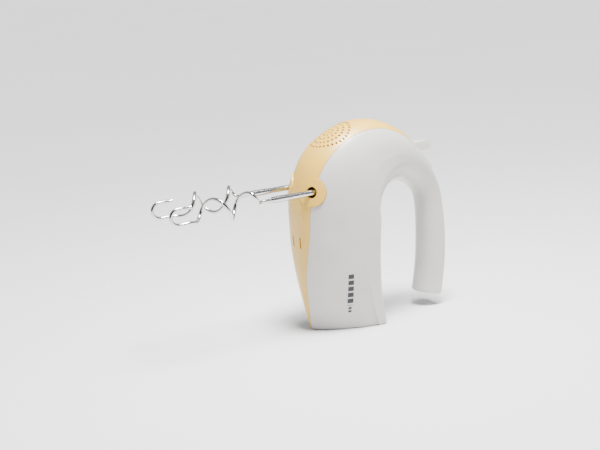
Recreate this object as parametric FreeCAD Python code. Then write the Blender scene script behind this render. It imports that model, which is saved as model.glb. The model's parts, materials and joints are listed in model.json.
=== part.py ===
import FreeCAD, Part
import math
import os

# Hand mixer with two wire dough hooks, standing on its heel.
# Origin: centre of the heel's rest face.  +Z up, +X towards the handle, hooks point along -X.
# The body is one U-shaped form: heel, body, nose, and a handle that is open at its lower end.
# In use the mixer is turned so that -X points down into the bowl and +Z points forwards.
# Millimetres and degrees throughout.

V = FreeCAD.Vector
AXIS_X = V(1, 0, 0)
AXIS_Y = V(0, 1, 0)
AXIS_Z = V(0, 0, 1)

# ---- driving dimensions: casing -------------------------------------------------------------
WALL = 2.5                 # thickness of the moulded shells
HEEL_FLOOR = 3.0           # thickness of the heel's bottom
HEEL_ROUND = 2.5           # radius of the heel's lower edge
HANDLE_ROUND = 4.0         # radius of the edge at the handle's end
PART_GAP = 0.3             # groove between two mouldings
ARCH_X, ARCH_Z = 53.0, 100.0   # centre that the handle's arch turns round
QUARTER_STEPS = 8          # points on each quarter of a section
FILL_STEPS = 3             # sections from one listed section to the next

# Sections of the form.  Each has an outer ridge, an inner ridge that faces the finger gap, and a
# crease on each side where the two halves of its outline meet.
# Heel and body: height, x of outer ridge, x of crease, x of inner ridge, half width, outline powers,
# and the half width of the cream cover there.
LEG = [
    (HEEL_ROUND, -41.3, 20.0, 25.8, 34.0, 1.5, 2.4, 1.0),
    (25.0, -46.0, 15.5, 24.0, 36.0, 1.7, 2.2, 5.0),
    (52.0, -49.0, 13.5, 23.2, 38.5, 2.1, 2.2, 9.5),
    (78.0, -49.3, 14.5, 24.0, 40.0, 2.6, 2.2, 16.0),
]
# Nose and arch: angle round the arch centre, radius of outer ridge, crease and inner ridge, then
# half width, outline powers and cover half width as above.
ARCH = [
    (180.0, 102.5, 36.0, 27.0, 40.0, 2.6, 2.2, 19.8),
    (160.0, 105.0, 39.0, 27.0, 40.0, 2.5, 2.0, 21.8),
    (140.0, 106.0, 43.0, 27.0, 38.5, 2.4, 2.0, 23.0),
    (120.0, 100.5, 47.0, 26.5, 35.0, 2.3, 2.0, 21.5),
    (100.0, 90.0, 50.0, 26.5, 30.5, 2.2, 2.0, 19.0),
    (80.0, 76.0, 51.0, 27.0, 25.5, 2.2, 2.0, 16.5),
    (67.0, 67.2, 50.4, 27.6, 22.6, 2.2, 2.0, 13.0),
    (53.0, 60.2, 49.8, 28.5, 19.8, 2.2, 2.0, 9.0),
    (38.0, 55.2, 49.5, 29.6, 17.8, 2.2, 2.0, 0.0),
    (20.0, 52.5, 49.0, 30.5, 16.5, 2.2, 2.0, 0.0),
    (0.0, 52.5, 49.0, 31.0, 16.0, 2.2, 2.1, 0.0),
]
# Handle below the arch: height, x of outer ridge, crease and inner ridge, half width, powers, tilt.
HANDLE = [
    (76.0, 107.0, 103.0, 84.0, 16.0, 2.2, 2.2, 0.0),
    (48.0, 105.5, 101.5, 81.5, 16.0, 2.2, 2.2, 0.0),
    (24.0, 101.8, 97.8, 77.2, 15.5, 2.2, 2.2, -6.0),
    (13.5, 99.6, 95.6, 74.8, 15.5, 2.2, 2.2, -14.0),
]

COVERED_MAIN = 11          # the cover ends at this listed section, counted from the heel at 0

# ---- driving dimensions: hooks and gearing --------------------------------------------------
HOOK_Y = 20.0              # each hook axis stands this far from the middle plane
HOOK_Z = 133.5             # height of the hook axes
FACE_X = -41.0             # where a hook axis leaves the body
SHAFT_R = 2.6
SHAFT_BACK_X = 18.0        # inner end of the hook shafts
SHAFT_OUT = 24.0           # shaft length outside the body
SLEEVE_R, SLEEVE_END = 2.95, 41.0
WIRE_R = 1.65
WIRE_SPANS = 44            # stretches that the wire's centre line is divided into
HELIX_R, HELIX_PITCH = 10.2, 34.0
HELIX_START, HELIX_END = 51.0, 107.0
HELIX_SWELL = 12.0         # length over which the wire leaves its axis
HELIX_LOW = 80.0           # distance from the body at which the wire is lowest
TIP_R, TIP_AT = 7.0, 132.5
TIP_BACK = 13.0
MOTOR_X = -1.0             # motor axis, parallel to Z, in the middle plane
WORM_STARTS, WHEEL_TEETH, MODULE = 2, 26, 1.0
WHEEL_PITCH_R = MODULE * WHEEL_TEETH / 2
WORM_PITCH_R = HOOK_Y - WHEEL_PITCH_R
WORM_LEAD = math.pi * MODULE * WORM_STARTS
LEAD_ANGLE = math.atan(WORM_LEAD / (2 * math.pi * WORM_PITCH_R))
WORM_LOW, WORM_HIGH = 121.0, 147.0
WHEEL_WIDTH = 8.0
MOTOR_SHAFT_R = 3.0
SPINDLE_R, SPINDLE_BORE_R = 4.5, 2.66
SPINDLE_FRONT_X, SPINDLE_BACK_X = -31.0, 11.5

# ---- driving dimensions: controls -----------------------------------------------------------
BUTTON_Z = 155.8
BUTTON_TIP_X = 100.0
BUTTON_WIDTH, BUTTON_HEIGHT = 12.6, 8.4
BUTTON_CORNER_R = 0.8      # corners of the opening, small enough to clear the button's own corners
FORK_X = SHAFT_BACK_X + 0.3
SLIDER_START = V(90.0, 0, 146.8)    # upper end of the speed slider's track, on the ridge
SLIDER_SLOPE = 27.4                 # how far the track's outward normal leans up from +X


# ---- helpers --------------------------------------------------------------------------------
def box(x, y, z):
    """Box from three (low, high) pairs."""
    solid = Part.makeBox(x[1] - x[0], y[1] - y[0], z[1] - z[0])
    solid.translate(V(x[0], y[0], z[0]))
    return solid


def rod(radius, start, end):
    """Round bar between two points."""
    along = end - start
    return Part.makeCylinder(radius, along.Length, start, along)


def tube(outer, inner, start, end):
    return rod(outer, start, end).cut(rod(inner, start, end))


def placed(shape, position, lean):
    """A shape turned in the middle plane, so that its x axis leans up, and moved to a position."""
    shape = shape.copy()
    turn = FreeCAD.Placement(position, FreeCAD.Rotation(AXIS_Y, -lean))
    shape.Placement = turn.multiply(shape.Placement)
    return shape


def mirrored(shape):
    """The same shape on the other side of the middle plane."""
    return shape.mirror(V(0, 0, 0), AXIS_Y)


def fused(first, *others):
    return first.fuse(list(others)).removeSplitter()


def compound(solids):
    return Part.makeCompound(solids)


class Station:
    """A section plane: u runs from its crease line to the outer ridge, v runs along Y."""

    def __init__(self, *values):
        self.values = values
        self.x, self.z, angle, self.out, self.inn, self.half, self.n_out, self.n_in, self.cover = values
        self.angle = math.radians(angle)

    def point(self, u, v):
        return V(self.x + u * math.cos(self.angle), v, self.z + u * math.sin(self.angle))


def main_stations():
    rows = []
    for z, outer, crease, inner, half, n_out, n_in, cover in LEG:
        rows.append(Station(crease, z, 180, crease - outer, inner - crease, half, n_out, n_in, cover))
    for angle, outer, crease, inner, half, n_out, n_in, cover in ARCH:
        x = ARCH_X + crease * math.cos(math.radians(angle))
        z = ARCH_Z + crease * math.sin(math.radians(angle))
        rows.append(Station(x, z, angle, outer - crease, crease - inner, half, n_out, n_in, cover))
    for z, outer, crease, inner, half, n_out, n_in, tilt in HANDLE:
        rows.append(Station(crease, z, tilt, outer - crease, crease - inner, half, n_out, n_in, 0))
    return rows


def between(before, start, end, after, t):
    """Smooth blend of four numbers, from start at t=0 to end at t=1."""
    return 0.5 * (2 * start + (end - before) * t + (2 * before - 5 * start + 4 * end - after) * t ** 2
                  + (3 * start - before - 3 * end + after) * t ** 3)


def filled_stations(rows):
    """The main stations with more blended in between them."""
    filled = []
    for index in range(len(rows) - 1):
        four = [rows[max(index - 1, 0)], rows[index], rows[index + 1], rows[min(index + 2, len(rows) - 1)]]
        for step in range(FILL_STEPS):
            mixed = [between(*numbers, step / FILL_STEPS) for numbers in zip(*[row.values for row in four])]
            filled.append(Station(*mixed))
    return filled + rows[-1:]


MAIN_STATIONS = main_stations()
STATIONS = filled_stations(MAIN_STATIONS)


def quarter(station, u_reach, v_reach, power):
    """One quarter of a section's outline, from its ridge to its crease."""
    points = []
    for step in range(QUARTER_STEPS + 1):
        t = math.pi / 2 * step / QUARTER_STEPS
        u = u_reach * abs(math.cos(t)) ** (2 / power)
        v = v_reach * math.sin(t) ** (2 / power)
        points.append(station.point(u, v))
    side = V(0, math.copysign(1, v_reach), 0)
    inward = (station.point(-math.copysign(1, u_reach), 0) - station.point(0, 0)).normalize()
    curve = Part.BSplineCurve()
    curve.interpolate(Points=points, InitialTangent=side, FinalTangent=inward)
    return curve


def section_wire(station, grow):
    out, inn, half = station.out + grow, station.inn + grow, station.half + grow
    edges = []
    for u_reach, v_reach, power, backwards in (
            (out, half, station.n_out, False), (-inn, half, station.n_in, True),
            (-inn, -half, station.n_in, False), (out, -half, station.n_out, True)):
        curve = quarter(station, u_reach, v_reach, power)
        if backwards:
            curve.reverse()
        edges.append(curve.toShape())
    return Part.Wire(edges)


def body_form(grow):
    """The whole U-shaped form, grown outwards by an amount."""
    return Part.makeLoft([section_wire(station, grow) for station in STATIONS], True, False)


def cover_block(extra):
    """The space along the outer ridge that the cream cover fills, from heel to eject button."""
    wires = []
    covered = STATIONS[:COVERED_MAIN * FILL_STEPS + 1]
    for station in covered:
        half = station.cover + extra
        corners = [station.point(0, -half), station.point(station.out + 12, -half),
                   station.point(station.out + 12, half), station.point(0, half)]
        if station is covered[0]:
            corners = [corner - V(0, 0, HEEL_ROUND + 1) for corner in corners]
        if station is covered[-1]:
            onward = V(math.sin(station.angle), 0, -math.cos(station.angle))
            corners = [corner + onward * extra for corner in corners]
        wires.append(Part.makePolygon(corners + corners[:1]))
    return Part.makeLoft(wires, True, False)


# ---- casing ---------------------------------------------------------------------------------
def rounded_end(station, outward, radius):
    """The quarter-round edge and flat end that close the form beyond a station."""
    wires = []
    for turn in (0, 25, 50, 70, 88):
        depth = radius * math.sin(math.radians(turn))
        inset = radius * (1 - math.cos(math.radians(turn)))
        wire = section_wire(station, -inset)
        wire.translate(outward * depth)
        wires.append(wire)
    return Part.makeLoft(wires, True, False)


def rounded_form():
    """The outer form with its heel edge and its handle end rounded."""
    heel = rounded_end(STATIONS[0], V(0, 0, -1), HEEL_ROUND / math.sin(math.radians(88)))
    tip = STATIONS[-1]
    downward = V(math.sin(tip.angle), 0, -math.cos(tip.angle))
    return body_form(0).fuse([heel, rounded_end(tip, downward, HANDLE_ROUND)])


def cavity():
    """The hollow inside the shells, closed at the heel and at the handle's end."""
    hollow = body_form(-WALL)
    hollow = hollow.cut(box((-60, 60), (-50, 50), (-5, HEEL_FLOOR)))
    end = STATIONS[-1]
    cap = box((-30, 30), (-30, 30), (-20, 1.0))
    return hollow.cut(placed(cap, V(end.x, 0, end.z), math.degrees(end.angle)))


BOSS_NORMAL = V(-0.77, -0.58, 0.2).normalize()
BOSS_CENTRE = V(FACE_X + 0.5, -HOOK_Y - 0.4, HOOK_Z + 0.3)
BOSS_R = 13.3
HOLE_R = 5.3


def boss_bar(radius, below, above):
    """A bar through the near hook hole, square to the surface there."""
    return rod(radius, BOSS_CENTRE - BOSS_NORMAL * below, BOSS_CENTRE + BOSS_NORMAL * above)


def both_sides(shape):
    return compound([shape, mirrored(shape)])


GRILLE_ANGLE = 63.0
GRILLE_CENTRE = V(-7.3, 0, 181.5)
GRILLE_RINGS = ((0.0, 1), (4.9, 8), (9.8, 15), (14.7, 23), (19.6, 31))
GRILLE_HOLE_R = 1.15
GRILLE_PATCH_R = 21.4


def grille_direction():
    return V(-math.cos(math.radians(GRILLE_ANGLE)), 0, math.sin(math.radians(GRILLE_ANGLE)))


def grille_holes():
    """Rings of air holes on the nose."""
    outward = grille_direction()
    across = AXIS_Y
    along = outward.cross(across)
    holes = []
    for radius, count in GRILLE_RINGS:
        for index in range(count):
            turn = 2 * math.pi * index / count
            centre = GRILLE_CENTRE + across * radius * math.cos(turn) + along * radius * math.sin(turn)
            holes.append(rod(GRILLE_HOLE_R, centre - outward * 16, centre + outward * 10))
    return holes


def grille_patch(form):
    """A shallow round recess that the air holes stand in."""
    outward = grille_direction()
    disc = rod(GRILLE_PATCH_R, GRILLE_CENTRE - outward * 18, GRILLE_CENTRE + outward * 12)
    return disc.common(form.cut(body_form(-0.45)))


def vent_slots():
    slots = []
    for y in (-6.5, 6.5):
        slots.append(box((-60, -38), (y - 1.1, y + 1.1), (80.5, 91.0)))
    return slots


def button_opening():
    half_y = BUTTON_WIDTH / 2 + 0.35
    half_z = BUTTON_HEIGHT / 2 + 0.35
    opening = box((72, 110), (-half_y, half_y), (BUTTON_Z - half_z, BUTTON_Z + half_z))
    edges = [edge for edge in opening.Edges if edge.BoundBox.XLength > 10]
    return opening.makeFillet(BUTTON_CORNER_R, edges)


def on_slider(shape):
    """Place a shape made in the slider's own frame: x out of the ridge, -z down the handle."""
    return placed(shape, SLIDER_START, SLIDER_SLOPE)


def slider_track():
    """The flat recess in the ridge and the slot through its floor."""
    recess = box((-1.2, 12), (-6.3, 6.3), (-31.0, -0.6))
    recess = recess.makeFillet(1.5, [edge for edge in recess.Edges if edge.BoundBox.XLength > 10])
    slot = box((-8, 2), (-1.9, 1.9), (-26.0, -6.5))
    return on_slider(recess.fuse(slot))


SCREW_PLACES = ((-26.0, 13.0), (15.6, 27.5), (35.0, 171.0), (94.0, 98.0), (89.0, 26.0))
SCREW_HEAD_Y = 8.0
SCREW_R, SCREW_HEAD_R = 1.4, 2.8


def screw_posts(hollow, side):
    """Posts inside one shell for the casing screws; side is -1 for left and 1 for right."""
    posts = [rod(4.4, V(x, side * 0.1, z), V(x, side * 45, z)) for x, z in SCREW_PLACES]
    return compound(posts).common(hollow)


def screw_holes(side):
    if side < 0:
        return [rod(SCREW_R + 0.05, V(x, -10, z), V(x, 1, z)) for x, z in SCREW_PLACES]
    holes = [rod(SCREW_R + 0.2, V(x, -1, z), V(x, 20, z)) for x, z in SCREW_PLACES]
    holes += [rod(SCREW_HEAD_R + 0.3, V(x, SCREW_HEAD_Y, z), V(x, 50, z)) for x, z in SCREW_PLACES]
    return holes


GROMMET_PLACE = V(26.6, 0, 12.0)    # middle of the cord grommet's outer face
GROMMET_LEAN = -8.0                 # the cord leaves at this angle to +X, downwards to clear the handle's end
GROMMET_BORE_R = 3.4
GROMMET_LENGTH = 9.0


def grommet_envelope():
    flange = rod(7.0, V(-2.2, 0, 0), V(0, 0, 0))
    neck = rod(5.4, V(-GROMMET_LENGTH, 0, 0), V(-2.2, 0, 0))
    return placed(fused(flange, neck), GROMMET_PLACE, GROMMET_LEAN)


def casing():
    """Left and right shells and the cream front cover."""
    form = rounded_form()
    hollow = cavity()
    shell = form.cut(hollow)
    # cream cover with its two raised discs, hook holes, air grille, slots and button opening
    cover = shell.common(cover_block(0))
    discs = both_sides(boss_bar(BOSS_R, 9, 8)).common(body_form(1.2)).cut(hollow)
    cover = fused(cover, discs)
    openings = [both_sides(boss_bar(HOLE_R, 12, 9)), grille_patch(form), button_opening()]
    for y in (-HOOK_Y, HOOK_Y):
        openings.append(rod(SHAFT_R + 1.4, V(FACE_X - 8, y, HOOK_Z), V(FACE_X + 16, y, HOOK_Z)))
    cover = cover.cut(openings + grille_holes() + vent_slots())
    # white shells
    white = shell.cut([cover_block(PART_GAP), both_sides(boss_bar(BOSS_R + PART_GAP, 14, 10)),
                       slider_track(), grommet_envelope()])
    halves = []
    for side in (-1, 1):
        low, high = sorted((side * PART_GAP / 2, side * 60))
        region = box((-80, 130), (low, high), (0.8, 220))
        low, high = sorted((0, side * 60))
        region = region.fuse(box((-80, 130), (low, high), (-1, 0.8)))
        half = white.common(region)
        half = half.fuse(screw_posts(hollow, side)).cut(screw_holes(side))
        halves.append(half)
    return halves[0], halves[1], cover


def casing_screws():
    screws = []
    for x, z in SCREW_PLACES:
        shank = rod(SCREW_R, V(x, -9.5, z), V(x, SCREW_HEAD_Y, z))
        head = rod(SCREW_HEAD_R, V(x, SCREW_HEAD_Y, z), V(x, SCREW_HEAD_Y + 2.0, z))
        cross = box((x - 0.4, x + 0.4), (SCREW_HEAD_Y + 1, SCREW_HEAD_Y + 3), (z - 1.9, z + 1.9))
        bar = box((x - 1.9, x + 1.9), (SCREW_HEAD_Y + 1, SCREW_HEAD_Y + 3), (z - 0.4, z + 0.4))
        screws.append(fused(shank, head).cut([cross, bar]))
    return compound(screws)


def cord_grommet():
    bore = rod(GROMMET_BORE_R, V(-GROMMET_LENGTH - 1, 0, 0), V(10, 0, 0))
    return grommet_envelope().cut(placed(bore, GROMMET_PLACE, GROMMET_LEAN))


# ---- hooks ----------------------------------------------------------------------------------
def hook_point(distance, y, z):
    """A point of the left hook, by its distance from the body and its offset from the axis."""
    return V(FACE_X - distance, -HOOK_Y + y, HOOK_Z + z)


def hook_route():
    """Centre line of the left hook's wire: straight, then a helix, then a U turned back."""
    route = [hook_point(distance, 0, 0) for distance in (SHAFT_OUT + 0.2, 31.0, 38.0, 44.0, 49.0)]
    steps = 36
    for step in range(1, steps + 1):
        distance = HELIX_START + (HELIX_END - HELIX_START) * step / steps
        turn = math.radians(-90 - 360 * (distance - HELIX_LOW) / HELIX_PITCH)
        swell = min(1, (distance - HELIX_START) / HELIX_SWELL)
        radius = HELIX_R * math.sin(math.pi / 2 * swell) ** 2
        route.append(hook_point(distance, radius * math.cos(turn), radius * math.sin(turn)))
    route += [hook_point(HELIX_END + 4.5, 5.6, -7.0), hook_point(HELIX_END + 9, 1.2, -TIP_R - 0.6),
              hook_point(HELIX_END + 14, 0, -TIP_R), hook_point(HELIX_END + 20, 0, -TIP_R)]
    for step in range(11):
        turn = math.pi * step / 10
        route.append(hook_point(TIP_AT + TIP_R * math.sin(turn), 0, -TIP_R * math.cos(turn)))
    route += [hook_point(TIP_AT - TIP_BACK / 2, 0, TIP_R), hook_point(TIP_AT - TIP_BACK, 0, TIP_R)]
    return route


def arc_from(start, tangent, end):
    """The arc that leaves a point along a tangent and ends at another point."""
    length = (end - start).Length
    forward = (end - start).normalize()
    sideways = tangent - forward * tangent.dot(forward)
    if sideways.Length < 1e-4:
        return Part.makeLine(start, end)
    half_turn = math.atan2(sideways.Length, tangent.dot(forward))
    bulge = sideways.normalize() * (length / 2 * math.tan(half_turn / 2))
    return Part.Arc(start, (start + end) * 0.5 + bulge, end).toShape()


def tangent_arcs(curve, spans):
    """A smooth curve as a chain of arcs, two to each span, that run into each other without a corner."""
    distances = [curve.length() * span / spans for span in range(spans)]
    places = [curve.parameterAtDistance(distance, curve.FirstParameter) for distance in distances]
    places.append(curve.LastParameter)
    edges = []
    for first, last in zip(places, places[1:]):
        start, end = curve.value(first), curve.value(last)
        leave, arrive = curve.tangent(first)[0], curve.tangent(last)[0]
        gap = end - start
        a, b, c = 2 * (1 - leave.dot(arrive)), 2 * gap.dot(leave + arrive), -gap.dot(gap)
        reach = -c / b if a < 1e-9 else (math.sqrt(b * b - 4 * a * c) - b) / (2 * a)
        before, after = start + leave * reach, end - arrive * reach
        joint = (before + after) * 0.5
        edges.append(arc_from(start, leave, joint))
        edges.append(arc_from(joint, (after - before).normalize(), end))
    return edges


def hook_wire():
    """The left hook's bent wire, a round section carried along its centre line."""
    curve = Part.BSplineCurve()
    curve.interpolate(Points=hook_route())
    route = Part.Wire(tangent_arcs(curve, WIRE_SPANS))
    start, direction = curve.value(curve.FirstParameter), curve.tangent(curve.FirstParameter)[0]
    section = Part.Wire([Part.makeCircle(WIRE_R, start, direction)])
    wire = route.makePipeShell([section], True, False)
    print(f"hook wire volume over section times length {wire.Volume / (math.pi * WIRE_R ** 2 * route.Length):.3f}")
    return wire


def left_hook():
    """Shaft, swaged sleeve and bent wire of the left hook."""
    axis_back = V(SHAFT_BACK_X, -HOOK_Y, HOOK_Z)
    shaft = rod(SHAFT_R, axis_back, hook_point(SHAFT_OUT, 0, 0))
    shaft = shaft.makeChamfer(0.6, [edge for edge in shaft.Edges
                                    if abs(edge.BoundBox.XMax - SHAFT_BACK_X) < 0.01
                                    and edge.BoundBox.XLength < 0.1])
    pin_hole = rod(0.9, hook_point(SHAFT_OUT - 2, -5, 0), hook_point(SHAFT_OUT - 2, 5, 0))
    shaft = shaft.cut(pin_hole)
    sleeve = rod(SLEEVE_R, hook_point(SHAFT_OUT, 0, 0), hook_point(SLEEVE_END, 0, 0))
    sleeve = sleeve.makeChamfer(0.5, [edge for edge in sleeve.Edges if edge.BoundBox.XLength < 0.1])
    sleeve = sleeve.cut(rod(WIRE_R, hook_point(SHAFT_OUT, 0, 0), hook_point(SLEEVE_END + 1, 0, 0)))
    return shaft, sleeve, hook_wire()


# ---- gears ----------------------------------------------------------------------------------
def wheel_outline(x, turn):
    """Toothed outline of a worm wheel in a plane square to X, about the X axis."""
    tip_r, root_r = WHEEL_PITCH_R + 0.7, WHEEL_PITCH_R - 0.8
    tip_half, root_half = 0.36, 0.86
    points = []
    for tooth in range(WHEEL_TEETH):
        middle = turn + 2 * math.pi * tooth / WHEEL_TEETH
        for radius, offset in ((root_r, -root_half), (tip_r, -tip_half),
                               (tip_r, tip_half), (root_r, root_half)):
            angle = middle + offset / radius
            points.append(V(x, radius * math.cos(angle), radius * math.sin(angle)))
    return Part.makePolygon(points + points[:1])


def left_worm_wheel():
    """Worm wheel on the left spindle; one tooth points at the worm, and the teeth lean with it."""
    lean = math.tan(LEAD_ANGLE) * WHEEL_WIDTH / 2 / WHEEL_PITCH_R
    low, high = MOTOR_X - WHEEL_WIDTH / 2, MOTOR_X + WHEEL_WIDTH / 2
    teeth = Part.makeLoft([wheel_outline(low, -lean), wheel_outline(high, lean)], True, True)
    hub = rod(7.0, V(low - 1.2, 0, 0), V(high + 1.2, 0, 0))
    wheel = teeth.fuse(hub)
    for side in (low - 1, high - 1.6):
        wheel = wheel.cut(tube(10.6, 8.2, V(side, 0, 0), V(side + 2.6, 0, 0)))
    wheel = wheel.cut(rod(SPINDLE_R, V(low - 5, 0, 0), V(high + 5, 0, 0)))
    wheel.translate(V(0, -HOOK_Y, HOOK_Z))
    return wheel


def drive_worm():
    """Two-start worm on the motor shaft, its threads passing between the wheels' teeth."""
    tip_r, core_r = WORM_PITCH_R + 0.7, WORM_PITCH_R - 1.0
    foot_r = core_r - 1.4
    tip_half, foot_half = 0.36, 1.38
    height = WORM_HIGH - WORM_LOW
    profile = Part.makePolygon([V(foot_r, 0, -foot_half), V(tip_r, 0, -tip_half),
                                V(tip_r, 0, tip_half), V(foot_r, 0, foot_half),
                                V(foot_r, 0, -foot_half)])
    guide = Part.Wire(Part.makeHelix(WORM_LEAD, height + WORM_LEAD, WORM_PITCH_R).Edges)
    threads = []
    for start in range(WORM_STARTS):
        thread = guide.makePipeShell([profile], True, True)
        thread.rotate(V(0, 0, 0), AXIS_Z, 360 * start / WORM_STARTS)
        threads.append(thread)
    # a thread gap faces each wheel at the height of the hook axes
    phase = (HOOK_Z - WORM_LOW) % (math.pi * MODULE)
    lift = phase - math.pi * MODULE / 2 - WORM_LEAD / 4 - WORM_LEAD / 2
    for thread in threads:
        thread.translate(V(0, 0, lift))
    core = rod(core_r, V(0, 0, -10), V(0, 0, height + 10))
    worm = core.fuse(threads).common(rod(tip_r + 1, V(0, 0, 0), V(0, 0, height)))
    worm = worm.cut(rod(MOTOR_SHAFT_R, V(0, 0, -5), V(0, 0, height + 5)))
    worm.translate(V(MOTOR_X, 0, WORM_LOW))
    return worm


def left_spindle():
    start = V(SPINDLE_FRONT_X, -HOOK_Y, HOOK_Z)
    end = V(SPINDLE_BACK_X, -HOOK_Y, HOOK_Z)
    return tube(SPINDLE_R, SPINDLE_BORE_R, start, end)


FRAME_FRONT = (-13.0, -10.0)
FRAME_BACK = (8.0, 11.0)
BUSH_R = 6.4


def spindle_bushes():
    bushes = []
    for y in (-HOOK_Y, HOOK_Y):
        for low, high in ((FRAME_FRONT[0] - 4, FRAME_FRONT[1]), FRAME_BACK):
            bushes.append(tube(BUSH_R, SPINDLE_R + 0.05, V(low, y, HOOK_Z), V(high, y, HOOK_Z)))
    return compound(bushes)


DECK = (104.0, 108.0)


def gearbox_frame():
    """Frame that holds the motor's top bearings and both spindles."""
    deck = box((-22, 20), (-30, 30), DECK)
    front = box(FRAME_FRONT, (-28.5, 28.5), (DECK[0], 146))
    back = box(FRAME_BACK, (-28.5, 28.5), (DECK[0], 146))
    bridge = box((FRAME_FRONT[0], FRAME_BACK[1]), (-9, 9), (151.5, 155.5))
    posts = [box(x, (-9, 9), (145, 152)) for x in (FRAME_FRONT, FRAME_BACK)]
    front_collars = [rod(BUSH_R + 2, V(FRAME_FRONT[0] - 4, y, HOOK_Z), V(FRAME_FRONT[1], y, HOOK_Z))
                     for y in (-HOOK_Y, HOOK_Y)]
    frame = fused(deck, front, back, bridge, *(posts + front_collars))
    holes = [rod(BUSH_R, V(-30, y, HOOK_Z), V(30, y, HOOK_Z)) for y in (-HOOK_Y, HOOK_Y)]
    holes.append(rod(6.5, V(MOTOR_X, 0, 90), V(MOTOR_X, 0, 170)))
    holes += [rod(1.5, V(MOTOR_X, y, 100), V(MOTOR_X, y, 112)) for y in (-BOLT_Y, BOLT_Y)]
    holes += [rod(5, V(x, y, 100), V(x, y, 112)) for x in (-15.5, 13.5) for y in (-20, 20)]
    return frame.cut(holes)


# ---- motor ----------------------------------------------------------------------------------
STACK = (50.0, 78.0)
STATOR_R, STATOR_IN_R, AIR_R = 21.4, 16.4, 12.9
BOLT_Y = 18.9
BRACKET = (22.0, 25.0)


def at_motor(shape):
    shape.translate(V(MOTOR_X, 0, 0))
    return shape


def ring(outer, inner, low, high):
    return tube(outer, inner, V(0, 0, low), V(0, 0, high))


def stator_core():
    core = ring(STATOR_R, STATOR_IN_R, *STACK)
    for side in (-1, 1):
        low, high = sorted((side * 11.0, side * 17.5))
        core = core.fuse(box((low, high), (-7.5, 7.5), STACK))
    core = core.cut(rod(AIR_R, V(0, 0, 40), V(0, 0, 90)))
    core = core.cut([rod(1.6, V(0, y, 40), V(0, y, 90)) for y in (-BOLT_Y, BOLT_Y)])
    return at_motor(core)


def field_coils():
    coils = []
    for side in (-1, 1):
        low, high = sorted((side * 4, side * 20))
        coil = ring(STATOR_IN_R - 0.2, AIR_R + 0.4, STACK[0] - 5, STACK[1] + 5)
        coil = coil.common(box((low, high), (-13.2, 13.2), (40, 90)))
        coil = coil.cut(box((low, high), (-7.8, 7.8), (STACK[0] - 0.3, STACK[1] + 0.3)))
        coils.append(at_motor(coil))
    return compound(coils)


ROTOR_SLOTS = 10


def slot_places(radius):
    turns = [2 * math.pi * (index + 0.5) / ROTOR_SLOTS for index in range(ROTOR_SLOTS)]
    return [V(radius * math.cos(turn), radius * math.sin(turn), 0) for turn in turns]


def armature_core():
    core = ring(12.4, MOTOR_SHAFT_R, *STACK)
    slots = [rod(1.7, place + AXIS_Z * 40, place + AXIS_Z * 90) for place in slot_places(9.6)]
    return at_motor(core.cut(slots))


def armature_windings():
    low = ring(11.3, 5.2, STACK[0] - 5, STACK[0])
    high = ring(11.3, 5.2, STACK[1], STACK[1] + 5)
    bars = [rod(1.6, place + AXIS_Z * STACK[0], place + AXIS_Z * STACK[1]) for place in slot_places(9.6)]
    return at_motor(fused(low, high, *bars))


COMMUTATOR = (31.0, 41.0)
COMMUTATOR_R = 8.6


def commutator():
    barrel = ring(COMMUTATOR_R, MOTOR_SHAFT_R, *COMMUTATOR)
    cuts = []
    for index in range(2 * ROTOR_SLOTS):
        groove = box((COMMUTATOR_R - 0.8, COMMUTATOR_R + 1), (-0.25, 0.25), (30, 42))
        groove.rotate(V(0, 0, 0), AXIS_Z, 360 * index / (2 * ROTOR_SLOTS))
        cuts.append(groove)
    return at_motor(barrel.cut(cuts))


def motor_shaft():
    return at_motor(rod(MOTOR_SHAFT_R, V(0, 0, 16), V(0, 0, 158)))


def cooling_fan():
    hub = ring(6.0, MOTOR_SHAFT_R, 87, 98)
    disc = ring(16.6, MOTOR_SHAFT_R, 87, 88.4)
    blades = []
    for index in range(9):
        blade = box((5.5, 16.4), (-0.6, 0.6), (88, 96.5))
        blade.rotate(V(11, 0, 0), AXIS_Z, 24)
        blade.rotate(V(0, 0, 0), AXIS_Z, 40 * index)
        blades.append(blade)
    trim = rod(16.6, V(0, 0, 80), V(0, 0, 100)).cut(rod(MOTOR_SHAFT_R, V(0, 0, 80), V(0, 0, 100)))
    return at_motor(fused(hub, disc, *blades).common(trim))


def bearing(low, high):
    return at_motor(ring(6.5, MOTOR_SHAFT_R + 0.05, low, high))


def lower_bracket():
    bar = box((-7.5, 7.5), (-28, 28), BRACKET)
    collar = rod(9.2, V(0, 0, 18), V(0, 0, 27))
    bracket = fused(bar, collar).cut(rod(6.5, V(0, 0, 10), V(0, 0, 40)))
    return at_motor(bracket.cut([rod(1.6, V(0, y, 10), V(0, y, 40)) for y in (-BOLT_Y, BOLT_Y)]))


def motor_bolts():
    bolts = []
    for y in (-BOLT_Y, BOLT_Y):
        shank = rod(1.5, V(0, y, BRACKET[0]), V(0, y, DECK[1]))
        head = rod(2.8, V(0, y, BRACKET[0] - 2.2), V(0, y, BRACKET[0]))
        bolts.append(at_motor(fused(shank, head)))
    return compound(bolts)


BRUSH_Z = 36.0


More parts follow.
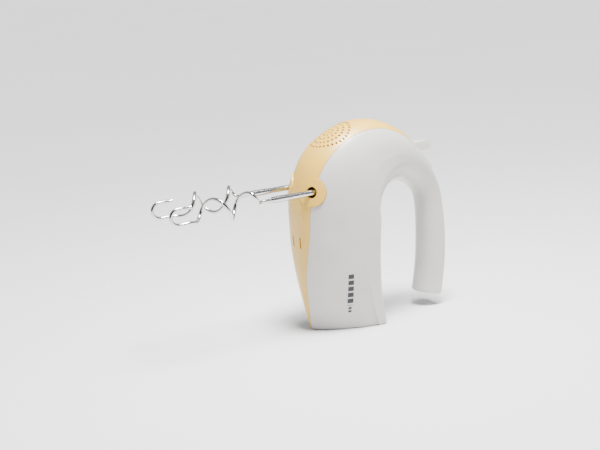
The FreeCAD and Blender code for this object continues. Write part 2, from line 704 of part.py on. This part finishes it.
def brush_set():
    """Carbon brushes, their brass holders and the springs behind them."""
    brushes, holders, springs = [], [], []
    for side in (-1, 1):
        inner, tail, back = COMMUTATOR_R + 0.3, 14.5, 18.6
        sides = ((-2.5, 2.5), (BRUSH_Z - 3, BRUSH_Z + 3))
        low, high = sorted((side * inner, side * tail))
        brushes.append(at_motor(box((low, high), *sides)))
        low, high = sorted((side * (inner + 1.4), side * back))
        outer = box((low, high), (-3.3, 3.3), (BRUSH_Z - 3.8, BRUSH_Z + 3.8))
        hollow_low, hollow_high = sorted((side * inner, side * (back - 0.8)))
        holders.append(at_motor(outer.cut(box((hollow_low, hollow_high), *sides))))
        coil = Part.makeHelix(1.1, 2.5, 1.5)
        section = Part.Wire([Part.makeCircle(0.22, V(1.5, 0, 0), AXIS_Y)])
        spring = Part.Wire(coil.Edges).makePipeShell([section], True, True)
        spring.rotate(V(0, 0, 0), AXIS_Y, 90 * side)
        spring.translate(V(side * (tail + 0.3), 0, BRUSH_Z))
        springs.append(at_motor(spring))
    return compound(brushes), compound(holders), compound(springs)


# ---- controls -------------------------------------------------------------------------------
FLANGE = (69.0, 74.5)
GUIDE = (44.0, 47.0)
STEM_HALF = 3.0


def eject_button():
    """Push button on the ridge, with a flange inside that keeps it in."""
    half_y, half_z = BUTTON_WIDTH / 2, BUTTON_HEIGHT / 2
    cap = box((FLANGE[1] - 1, BUTTON_TIP_X), (-half_y, half_y), (BUTTON_Z - half_z, BUTTON_Z + half_z))
    tip = [edge for edge in cap.Edges
           if edge.BoundBox.XMin > BUTTON_TIP_X - 0.01 and edge.BoundBox.YLength > 10]
    cap = cap.makeFillet(half_z - 0.3, tip)
    flange = box(FLANGE, (-half_y - 2, half_y + 2), (BUTTON_Z - half_z - 1.2, BUTTON_Z + half_z + 1.2))
    return fused(cap, flange)


def ejector_fork():
    """Stem and forked plate that carry the button's push to the ends of both hook shafts."""
    stem = box((FORK_X, FLANGE[0]), (-STEM_HALF, STEM_HALF), (BUTTON_Z - 3, BUTTON_Z + 3))
    plate_x = (FORK_X, FORK_X + 2.2)
    web = box(plate_x, (-7, 7), (HOOK_Z - 3, BUTTON_Z + 3))
    arms = box(plate_x, (-HOOK_Y - 4, HOOK_Y + 4), (HOOK_Z - 4, HOOK_Z + 5))
    return fused(stem, web, arms)


def ejector_guide():
    """Fixed plate that the stem slides through and the spring pushes against."""
    plate = box(GUIDE, (-15, 15), (BUTTON_Z - 8, BUTTON_Z + 7))
    window = STEM_HALF + 0.3
    return plate.cut(box((40, 50), (-window, window), (BUTTON_Z - window, BUTTON_Z + window)))


def ejector_spring():
    length = FLANGE[0] - GUIDE[1] - 1.0
    coil = Part.makeHelix(length / 6, length, 5.2)
    section = Part.Wire([Part.makeCircle(0.45, V(5.2, 0, 0), AXIS_Y)])
    spring = Part.Wire(coil.Edges).makePipeShell([section], True, True)
    spring.rotate(V(0, 0, 0), AXIS_Y, 90)
    spring.translate(V(GUIDE[1] + 0.5, 0, BUTTON_Z))
    return spring


SLIDER_LENGTH = 15.0
SLIDER_TOP = -1.4          # z of the pad's upper end in the slider's frame


def speed_slider():
    """Wedge-shaped thumb pad with a stem through the slot in its track."""
    foot = SLIDER_TOP - SLIDER_LENGTH
    outline = [V(-0.9, -5.5, SLIDER_TOP), V(1.4, -5.5, SLIDER_TOP), V(3.6, -5.5, foot + 1.2),
               V(3.2, -5.5, foot), V(-0.9, -5.5, foot), V(-0.9, -5.5, SLIDER_TOP)]
    pad = Part.Face(Part.makePolygon(outline)).extrude(V(0, 11, 0))
    middle = (SLIDER_TOP + foot) / 2
    ribs = [box((-0.5, 5), (-4.5, 4.5), (middle + step - 0.35, middle + step + 0.35))
            for step in (-4.5, -2.5, -0.5, 1.5, 3.5)]
    crown = Part.makeCompound(ribs).common(pad.translated(V(0.5, 0, 0)))
    stem = box((-9, 0), (-1.5, 1.5), (middle - 2.2, middle + 2.2))
    return on_slider(fused(pad, stem, *crown.Solids))


def switch_carriage():
    """Contact carriage that the slider's stem drives inside the handle."""
    middle = SLIDER_TOP - SLIDER_LENGTH / 2
    block = box((-13, -8), (-4.5, 4.5), (middle - 5, middle + 5))
    return on_slider(block.cut(box((-9, 0), (-1.5, 1.5), (middle - 2.2, middle + 2.2))))


def switch_body():
    """Fixed speed switch under the carriage."""
    return on_slider(box((-20, -14.2), (-6.0, 6.0), (-29, 2)))


def switch_contacts():
    middle = SLIDER_TOP - SLIDER_LENGTH / 2
    strips = [box((-14.2, -13.4), (-1.5, 1.5), (middle - 3 * step - 1, middle - 3 * step + 1))
              for step in range(5)]
    return on_slider(compound(strips))


def terminal_block():
    block = box((2, 14), (-9, 9), (4.5, 12))
    wells = [rod(1.6, V(8, y, 6), V(8, y, 20)) for y in (-5, 5)]
    return block.cut(wells)


def suppressor_capacitor():
    can = box((-20, -8), (-12, 12), (4.5, 15))
    return can.makeFillet(1.5, can.Edges)


# ---- assembly -------------------------------------------------------------------------------
def make_parts():
    parts = {}
    parts["left_housing"], parts["right_housing"], parts["front_cover"] = casing()
    parts["housing_screws"] = casing_screws()
    parts["cord_grommet"] = cord_grommet()
    parts["terminal_block"] = terminal_block()
    parts["suppressor_capacitor"] = suppressor_capacitor()
    shaft, sleeve, wire = left_hook()
    wheel, spindle = left_worm_wheel(), left_spindle()
    pairs = {"hook_shaft": shaft, "hook_sleeve": sleeve, "hook_wire": wire,
             "worm_wheel": wheel, "spindle": spindle}
    for name, shape in pairs.items():
        parts["left_" + name] = shape
        if name != "worm_wheel":
            parts["right_" + name] = mirrored(shape)
    # both worm wheels lean the same way, so the right one is the left one turned, not mirrored
    right_wheel = wheel.copy()
    right_wheel.rotate(V(MOTOR_X, 0, HOOK_Z), AXIS_X, 180)
    parts["right_worm_wheel"] = right_wheel
    parts["spindle_bushes"] = spindle_bushes()
    parts["gearbox_frame"] = gearbox_frame()
    parts["drive_worm"] = drive_worm()
    parts["motor_shaft"] = motor_shaft()
    parts["cooling_fan"] = cooling_fan()
    parts["armature_core"] = armature_core()
    parts["armature_windings"] = armature_windings()
    parts["commutator"] = commutator()
    parts["stator_core"] = stator_core()
    parts["field_coils"] = field_coils()
    parts["lower_bearing"] = bearing(18, 27)
    parts["middle_bearing"] = bearing(102, 108)
    parts["top_bearing"] = bearing(149.5, 155.5)
    parts["motor_bracket"] = lower_bracket()
    parts["motor_bolts"] = motor_bolts()
    parts["carbon_brushes"], parts["brush_holders"], parts["brush_springs"] = brush_set()
    parts["eject_button"] = eject_button()
    parts["ejector_fork"] = ejector_fork()
    parts["ejector_guide"] = ejector_guide()
    parts["ejector_spring"] = ejector_spring()
    parts["speed_slider"] = speed_slider()
    parts["switch_carriage"] = switch_carriage()
    parts["switch_body"] = switch_body()
    parts["switch_contacts"] = switch_contacts()
    return parts


os.makedirs("parts", exist_ok=True)
for node, shape in make_parts().items():
    size = shape.BoundBox
    print(f"{node:22s} solids {len(shape.Solids)} valid {shape.isValid()} volume {shape.Volume:9.1f} "
          f"x {size.XMin:7.1f} {size.XMax:6.1f} y {size.YMin:6.1f} {size.YMax:6.1f} "
          f"z {size.ZMin:6.1f} {size.ZMax:6.1f}")
    shape.exportStep(os.path.join("parts", node + ".step"))
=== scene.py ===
import json
import math

import bmesh
import bpy
from mathutils import Matrix, Vector
from mathutils.bvhtree import BVHTree


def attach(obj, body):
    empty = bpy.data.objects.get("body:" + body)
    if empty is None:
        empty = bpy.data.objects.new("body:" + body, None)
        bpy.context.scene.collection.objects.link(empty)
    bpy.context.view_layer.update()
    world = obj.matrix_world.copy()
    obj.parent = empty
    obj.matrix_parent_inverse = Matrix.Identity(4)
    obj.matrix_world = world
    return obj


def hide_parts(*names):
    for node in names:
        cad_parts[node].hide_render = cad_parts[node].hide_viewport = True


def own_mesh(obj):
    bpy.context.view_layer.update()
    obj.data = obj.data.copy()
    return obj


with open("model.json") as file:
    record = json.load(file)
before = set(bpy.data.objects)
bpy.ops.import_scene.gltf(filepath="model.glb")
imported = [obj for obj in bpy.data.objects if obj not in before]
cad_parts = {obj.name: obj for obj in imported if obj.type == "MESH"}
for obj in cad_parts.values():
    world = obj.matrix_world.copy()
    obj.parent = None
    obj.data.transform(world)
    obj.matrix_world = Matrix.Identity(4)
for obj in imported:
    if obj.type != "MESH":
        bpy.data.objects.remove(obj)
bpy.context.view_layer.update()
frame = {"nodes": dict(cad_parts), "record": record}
nodes = frame["nodes"]

MM = 0.001


def added(name, data):
    """A new object with this data, linked to the scene."""
    thing = bpy.data.objects.new(name, data)
    bpy.context.scene.collection.objects.link(thing)
    return thing


def as_mesh(name, work):
    """A mesh made from a bmesh, which is freed."""
    mesh = bpy.data.meshes.new(name)
    work.to_mesh(mesh)
    work.free()
    return mesh


# ---- camera ---------------------------------------------------------------------------------
AZIMUTH, ELEVATION, ROLL = math.radians(28), math.radians(12.5), math.radians(4.5)
DISTANCE = 1.4
LENS = 88.42
ASIDE, BELOW = 0.04655, 0.09082     # how far the heel's centre lies right of and below the view's middle
CLIP_START, CLIP_END = 0.05, 50


def view_axes():
    """Right, up and forward directions of the camera."""
    forward = Vector((math.sin(AZIMUTH) * math.cos(ELEVATION), math.cos(AZIMUTH) * math.cos(ELEVATION),
                      -math.sin(ELEVATION)))
    level = Vector((math.cos(AZIMUTH), -math.sin(AZIMUTH), 0))
    upward = level.cross(forward)
    right = level * math.cos(ROLL) - upward * math.sin(ROLL)
    up = level * math.sin(ROLL) + upward * math.cos(ROLL)
    return right, up, forward


def make_camera():
    right, up, forward = view_axes()
    place = up * BELOW - right * ASIDE - forward * DISTANCE
    camera = added("camera", bpy.data.cameras.new("camera"))
    camera.data.lens = LENS
    camera.data.clip_start, camera.data.clip_end = CLIP_START, CLIP_END
    turn = Matrix((right, up, -forward)).transposed().to_4x4()
    camera.matrix_world = Matrix.Translation(place) @ turn
    bpy.context.scene.camera = camera


# ---- lights and floor -----------------------------------------------------------------------
SUN_STRENGTH, SUN_ANGLE = 5.6, math.radians(30)
SUN_DIRECTION = Vector((-0.18, 0.10, -1.0))
SHOULDER_WATTS, SHOULDER_SIZE = 17, 0.25
SHOULDER_PLACE, SHOULDER_TARGET = Vector((0.0, -0.17, 0.78)), Vector((0.01, -0.02, 0.17))
DIM_DIRECTION = Vector((-0.45, -0.85, -0.15))
DIM_FROM, DIM_TO = 0.05, 0.75       # cosines to that direction between which the surroundings go dim
WORLD_BRIGHT, WORLD_DIM = 0.6, 0.02
FLOOR_SIZE = 12


def pointing(direction):
    """Rotation of a light that shines this way."""
    return direction.to_track_quat("-Z", "Y").to_euler()


def overhead_light():
    """A wide soft light from above, a little from the handle's and the camera's side."""
    light = bpy.data.lights.new("overhead", "SUN")
    light.energy = SUN_STRENGTH
    light.angle = SUN_ANGLE
    added("overhead", light).rotation_euler = pointing(SUN_DIRECTION)


def shoulder_light():
    """A near light over the camera's side, which fades down the body from the shoulder."""
    light = bpy.data.lights.new("shoulder", "AREA")
    light.shape = "DISK"
    light.size = SHOULDER_SIZE
    light.energy = SHOULDER_WATTS
    holder = added("shoulder", light)
    holder.location = SHOULDER_PLACE
    holder.rotation_euler = pointing(SHOULDER_TARGET - holder.location)


def make_world():
    """Bright overhead and behind the mixer, dim on the camera's side, so that metal shows dark bands."""
    world = bpy.data.worlds.new("studio")
    world.use_nodes = True
    world_nodes, links = world.node_tree.nodes, world.node_tree.links
    direction = world_nodes.new("ShaderNodeTexCoord").outputs["Generated"]
    facing = world_nodes.new("ShaderNodeVectorMath")
    facing.operation = "DOT_PRODUCT"
    facing.inputs[1].default_value = DIM_DIRECTION.normalized()
    links.new(direction, facing.inputs[0])
    strength = world_nodes.new("ShaderNodeMapRange")
    strength.interpolation_type = "SMOOTHSTEP"
    for socket, value in (("From Min", DIM_FROM), ("From Max", DIM_TO), ("To Min", WORLD_BRIGHT),
                          ("To Max", WORLD_DIM)):
        strength.inputs[socket].default_value = value
    links.new(facing.outputs["Value"], strength.inputs["Value"])
    background = world_nodes["Background"]
    background.inputs["Color"].default_value = (1.0, 1.0, 1.0, 1)
    links.new(strength.outputs["Result"], background.inputs["Strength"])
    bpy.context.scene.world = world


def make_floor():
    work = bmesh.new()
    bmesh.ops.create_grid(work, x_segments=2, y_segments=2, size=FLOOR_SIZE)
    floor = added("floor", as_mesh("floor", work))
    floor.data.materials.append(surface("floor_paint", (0.82, 0.82, 0.82), (0.80, 0.80, 0.80), 0.7, 0.6, 3, 0.0))


# ---- materials ------------------------------------------------------------------------------
RAMP_LOW, RAMP_HIGH = 0.3, 0.7          # the middle range of a noise, which a blend of colours spans
GLOSS_SCALE = 3                         # how much finer the gloss varies than the colour
GRAIN_SCALE, GRAIN_DETAIL = 2600, 2.0
COAT_ROUGHNESS = 0.12
SUBSURFACE_RADIUS = (0.004, 0.003, 0.002)


class Tree:
    """Builds one material's nodes, on the object's own coordinates."""

    def __init__(self, name):
        self.material = bpy.data.materials.new(name)
        self.material.use_nodes = True
        self.tree = self.material.node_tree
        self.shader = self.tree.nodes["Principled BSDF"]
        self.place = self.tree.nodes.new("ShaderNodeTexCoord").outputs["Object"]

    def noise(self, scale, detail=4.0, stretch=None):
        node = self.tree.nodes.new("ShaderNodeTexNoise")
        node.inputs["Scale"].default_value = scale
        node.inputs["Detail"].default_value = detail
        source = self.place
        if stretch:
            mapping = self.tree.nodes.new("ShaderNodeMapping")
            mapping.inputs["Scale"].default_value = stretch
            self.tree.links.new(self.place, mapping.inputs["Vector"])
            source = mapping.outputs["Vector"]
        self.tree.links.new(source, node.inputs["Vector"])
        return node.outputs["Fac"]

    def bands(self, scale, distortion):
        """Bands stacked along Z."""
        node = self.tree.nodes.new("ShaderNodeTexWave")
        node.bands_direction = "Z"
        node.inputs["Scale"].default_value = scale
        node.inputs["Distortion"].default_value = distortion
        self.tree.links.new(self.place, node.inputs["Vector"])
        return node.outputs["Fac"]

    def ramp(self, source, low, high):
        """Blend of two colours by a noise, kept to the noise's middle range."""
        node = self.tree.nodes.new("ShaderNodeValToRGB")
        for element, position, colour in zip(node.color_ramp.elements, (RAMP_LOW, RAMP_HIGH), (low, high)):
            element.position = position
            element.color = (*colour, 1)
        self.tree.links.new(source, node.inputs["Fac"])
        return node.outputs["Color"]

    def spread(self, source, low, high):
        node = self.tree.nodes.new("ShaderNodeMapRange")
        node.inputs["To Min"].default_value = low
        node.inputs["To Max"].default_value = high
        self.tree.links.new(source, node.inputs["Value"])
        return node.outputs["Result"]

    def bump(self, source, depth):
        """Relief of this depth in mm."""
        node = self.tree.nodes.new("ShaderNodeBump")
        node.inputs["Distance"].default_value = depth * MM
        node.inputs["Strength"].default_value = 1.0
        self.tree.links.new(source, node.inputs["Height"])
        self.tree.links.new(node.outputs["Normal"], self.shader.inputs["Normal"])

    def set(self, socket, value):
        self.shader.inputs[socket].default_value = value

    def link(self, source, socket):
        self.tree.links.new(source, self.shader.inputs[socket])


def surface(name, low, high, rough_low, rough_high, scale, bump, metallic=0.0, coat=0.0, stretch=None,
            subsurface=0.0):
    """A finish with two close shades, varying gloss and a fine grain."""
    tree = Tree(name)
    tree.link(tree.ramp(tree.noise(scale, stretch=stretch), low, high), "Base Color")
    tree.link(tree.spread(tree.noise(scale * GLOSS_SCALE), rough_low, rough_high), "Roughness")
    tree.set("Metallic", metallic)
    tree.set("Coat Weight", coat)
    tree.set("Coat Roughness", COAT_ROUGHNESS)
    if subsurface:
        tree.set("Subsurface Weight", subsurface)
        tree.set("Subsurface Radius", SUBSURFACE_RADIUS)
    if bump:
        tree.bump(tree.noise(GRAIN_SCALE, GRAIN_DETAIL), bump)
    return tree.material


def laminated(name, colour, dark):
    """Stacked sheet steel: thin dark lines along Z."""
    tree = Tree(name)
    lines = tree.bands(scale=320, distortion=0.4)
    tree.link(tree.ramp(lines, dark, colour), "Base Color")
    tree.link(tree.spread(tree.noise(300), 0.35, 0.6), "Roughness")
    tree.set("Metallic", 0.9)
    tree.bump(lines, 0.05)
    return tree.material


def wound(name, colour, dark):
    """Enamelled wire laid side by side."""
    tree = Tree(name)
    turns = tree.bands(scale=420, distortion=1.4)
    tree.link(tree.ramp(turns, dark, colour), "Base Color")
    tree.link(tree.spread(tree.noise(500), 0.25, 0.45), "Roughness")
    tree.set("Metallic", 0.8)
    tree.set("Coat Weight", 0.4)
    tree.bump(turns, 0.12)
    return tree.material


FINISHES = {
    "white_shell": lambda name: surface(name, (0.50, 0.482, 0.465), (0.54, 0.522, 0.505), 0.30, 0.38, 30, 0.012,
                                        coat=0.25),
    "cream_shell": lambda name: surface(name, (0.68, 0.41, 0.055), (0.72, 0.44, 0.068), 0.34, 0.44, 30, 0.012,
                                        coat=0.15),
    "white_control": lambda name: surface(name, (0.62, 0.605, 0.59), (0.67, 0.655, 0.64), 0.25, 0.33, 40, 0.008,
                                          coat=0.3),
    "grey_control": lambda name: surface(name, (0.60, 0.60, 0.59), (0.65, 0.65, 0.64), 0.4, 0.5, 60, 0.012),
    "chromed_steel": lambda name: surface(name, (0.58, 0.58, 0.59), (0.66, 0.66, 0.67), 0.07, 0.14, 120, 0.004,
                                          metallic=1.0, stretch=(0.3, 1, 1)),
    "black_nylon": lambda name: surface(name, (0.022, 0.022, 0.024), (0.035, 0.035, 0.037), 0.45, 0.6, 150, 0.02),
    "grey_rubber": lambda name: surface(name, (0.42, 0.42, 0.41), (0.48, 0.48, 0.47), 0.6, 0.75, 120, 0.03),
    "natural_nylon": lambda name: surface(name, (0.74, 0.70, 0.58), (0.80, 0.76, 0.65), 0.4, 0.55, 80, 0.015,
                                          subsurface=0.1),
    "steel": lambda name: surface(name, (0.46, 0.46, 0.47), (0.58, 0.58, 0.59), 0.22, 0.38, 160, 0.006,
                                  metallic=1.0, stretch=(1, 1, 0.15)),
    "lamination": lambda name: laminated(name, (0.36, 0.37, 0.38), (0.12, 0.12, 0.13)),
    "copper": lambda name: wound(name, (0.72, 0.34, 0.16), (0.34, 0.13, 0.05)),
    "brass": lambda name: surface(name, (0.66, 0.50, 0.22), (0.74, 0.58, 0.28), 0.25, 0.4, 120, 0.005,
                                  metallic=1.0),
    "bronze": lambda name: surface(name, (0.42, 0.29, 0.15), (0.52, 0.37, 0.20), 0.4, 0.6, 240, 0.02,
                                   metallic=0.9),
    "carbon": lambda name: surface(name, (0.03, 0.03, 0.032), (0.055, 0.055, 0.057), 0.5, 0.7, 300, 0.02),
}


def paint_nodes():
    """Give every CAD node the finish that its material slot in the record names."""
    made = {slot: make(slot) for slot, make in FINISHES.items()}
    for row in frame["record"]["subparts"]:
        mesh = nodes[row["node"]].data
        mesh.materials.clear()
        mesh.materials.append(made[row["material_slot"]])


# ---- printed mark, in mm --------------------------------------------------------------------
MARK_X = -14.2
# each bar's lower end, upper end and half width
MARK_BARS = ((17.0, 19.2, 1.4), (20.2, 22.4, 1.4), (24.0, 24.5, 2.6), (26.4, 30.8, 2.6), (32.4, 36.8, 2.6),
             (38.4, 42.8, 2.6), (44.4, 48.8, 2.6), (50.4, 54.8, 2.6))
MARK_CELLS = 4              # how many cells each bar has up and across
MARK_LIFT, MARK_THICKNESS = 0.06, 0.05
OUTSIDE_Y = -100            # left of the whole shell


def printed_mark():
    """A plain column of bars printed on the left side."""
    shell = nodes["left_housing"]
    tree = BVHTree.FromPolygons([v.co for v in shell.data.vertices],
                                [p.vertices for p in shell.data.polygons])
    work = bmesh.new()
    for low, high, half in MARK_BARS:
        rows = []
        for step in range(MARK_CELLS + 1):
            z = low + (high - low) * step / MARK_CELLS
            row = []
            for column in range(MARK_CELLS + 1):
                x = MARK_X + (2 * column / MARK_CELLS - 1) * half
                start = Vector((x * MM, OUTSIDE_Y * MM, z * MM))
                spot, normal, _, _ = tree.ray_cast(start, Vector((0, 1, 0)))
                row.append(work.verts.new(spot + normal * MARK_LIFT * MM))
            rows.append(row)
        for below, above in zip(rows, rows[1:]):
            for index in range(MARK_CELLS):
                work.faces.new((below[index], below[index + 1], above[index + 1], above[index]))
    mark = added("printed_mark", as_mesh("printed_mark", work))
    mark.modifiers.new("thickness", "SOLIDIFY").thickness = MARK_THICKNESS * MM
    ink = surface("mark_ink", (0.012, 0.013, 0.016), (0.020, 0.021, 0.025), 0.6, 0.7, 200, 0.004)
    mark.data.materials.append(ink)
    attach(mark, "housing")


# ---- return spring, in mm -------------------------------------------------------------------
SPRING_Z = 155.8
SPRING_START, SPRING_END = 47.5, 68.5
SPRING_R, SPRING_WIRE_R = 5.2, 0.45
SPRING_TURNS = 6
RINGS_PER_TURN, SIDES = 32, 12


def spring_rings(work):
    """The circles of vertices along the coil."""
    rings = []
    for step in range(SPRING_TURNS * RINGS_PER_TURN + 1):
        turn = 2 * math.pi * step / RINGS_PER_TURN
        outward = Vector((0, math.cos(turn), math.sin(turn)))
        x = SPRING_START + (SPRING_END - SPRING_START) * step / (SPRING_TURNS * RINGS_PER_TURN)
        centre = Vector((x, 0, SPRING_Z)) + outward * SPRING_R
        ring = []
        for side in range(SIDES):
            angle = 2 * math.pi * side / SIDES
            offset = outward * math.cos(angle) + Vector((1, 0, 0)) * math.sin(angle)
            ring.append(work.verts.new((centre + offset * SPRING_WIRE_R) * MM))
        rings.append(ring)
    return rings


def return_spring():
    """The eject button's spring, as a mesh of its own fixed to the housing, in place of the CAD node, which can't
    shorten with the button.
    """
    work = bmesh.new()
    rings = spring_rings(work)
    for near, far in zip(rings, rings[1:]):
        for side in range(SIDES):
            after = (side + 1) % SIDES
            work.faces.new((near[side], near[after], far[after], far[side]))
    work.faces.new(rings[0])
    work.faces.new(rings[-1])
    bmesh.ops.recalc_face_normals(work, faces=work.faces)
    for face in work.faces:
        face.smooth = len(face.verts) == 4
    spring = added("return_spring", as_mesh("return_spring", work))
    spring.data.materials.append(nodes["ejector_spring"].data.materials[0])
    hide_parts("ejector_spring")
    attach(spring, "housing")
    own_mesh(spring)


make_camera()
overhead_light()
shoulder_light()
make_world()
make_floor()
paint_nodes()
printed_mark()
return_spring()
